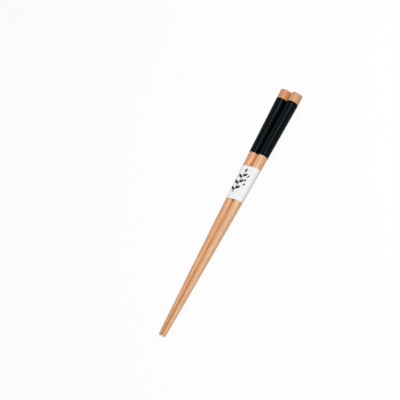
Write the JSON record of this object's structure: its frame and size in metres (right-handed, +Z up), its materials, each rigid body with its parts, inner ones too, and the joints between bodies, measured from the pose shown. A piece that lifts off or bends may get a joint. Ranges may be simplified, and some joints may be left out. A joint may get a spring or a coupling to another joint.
{
  "type": "pair of wooden chopsticks",
  "caption": "Round tapered wooden chopsticks lying side by side, their upper ends wound with black thread, held by a white paper band.",
  "frame": {"origin": "on the surface that the pair lies on, in the middle of its length and between the two sticks", "axes": "+Y from the tips to the butt ends, +X across the pair to its right, +Z up from the surface"},
  "size_m": [0.0204, 0.225, 0.01],
  "materials": {
    "wood": "satin",
    "thread": "satin",
    "paper": "matte"
  },
  "bodies": {
    "root": {"chopstick_left": "wood", "chopstick_right": "wood", "thread_wrap_left": "thread", "thread_wrap_right": "thread", "paper_band": "paper"}
  },
  "joints": []
}
